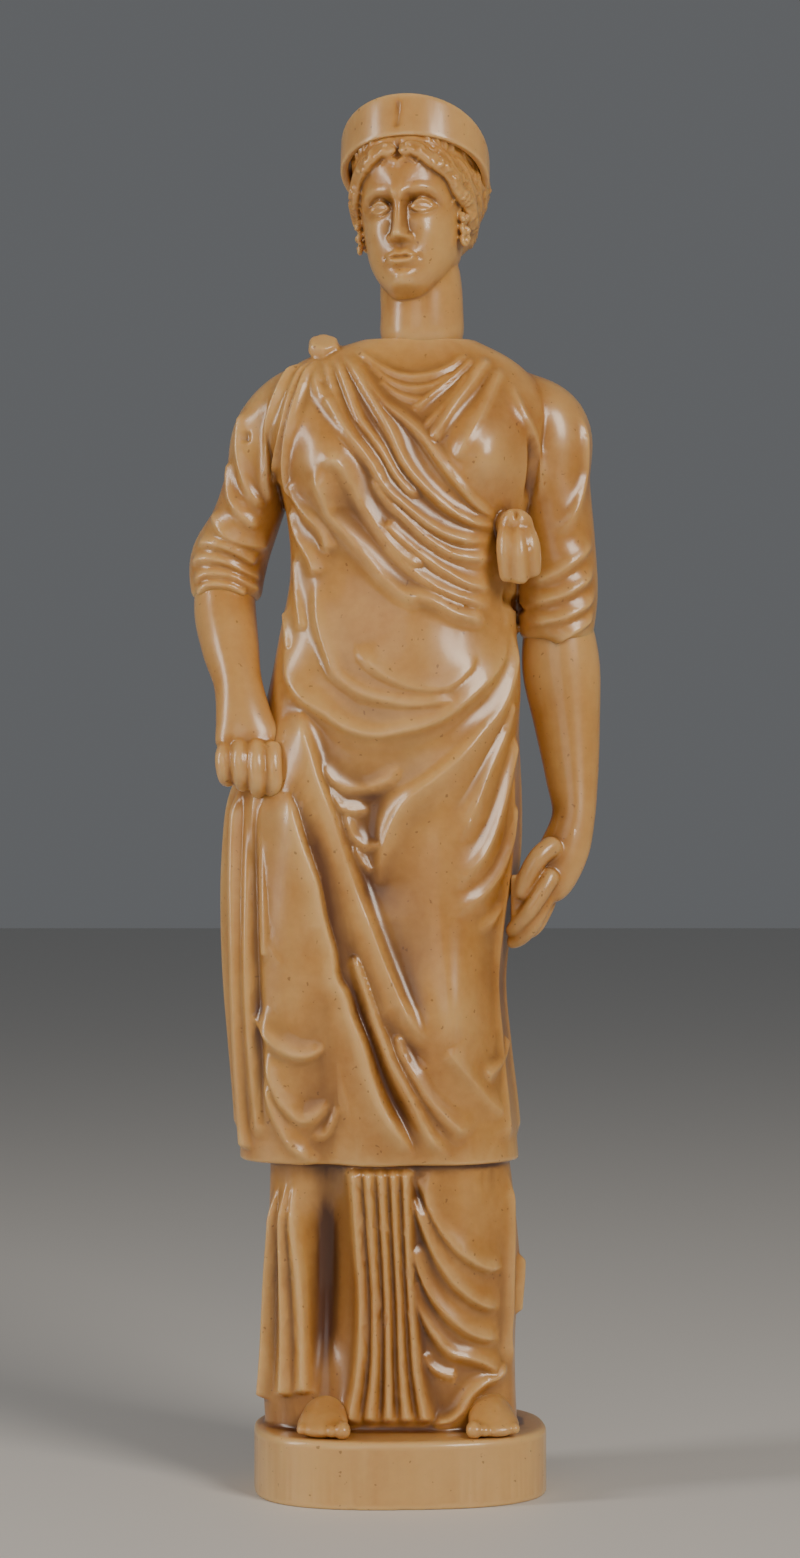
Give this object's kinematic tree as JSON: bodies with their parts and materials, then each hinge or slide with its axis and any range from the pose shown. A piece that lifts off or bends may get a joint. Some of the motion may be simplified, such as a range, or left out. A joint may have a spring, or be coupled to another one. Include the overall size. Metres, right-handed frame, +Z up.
{
  "type": "statue",
  "caption": "Standing draped woman of polished alabaster with a diadem, carved in one block with its low oval plinth.",
  "frame": {"origin": "middle of the plinth's flat underside", "axes": "+Z up through the standing figure, which faces along -Y; her left hand is on the +X side"},
  "size_m": [0.1796, 0.1008, 0.6014],
  "materials": {
    "alabaster": "polished"
  },
  "bodies": {
    "root": {"draped_woman_statue": "alabaster"}
  },
  "joints": []
}
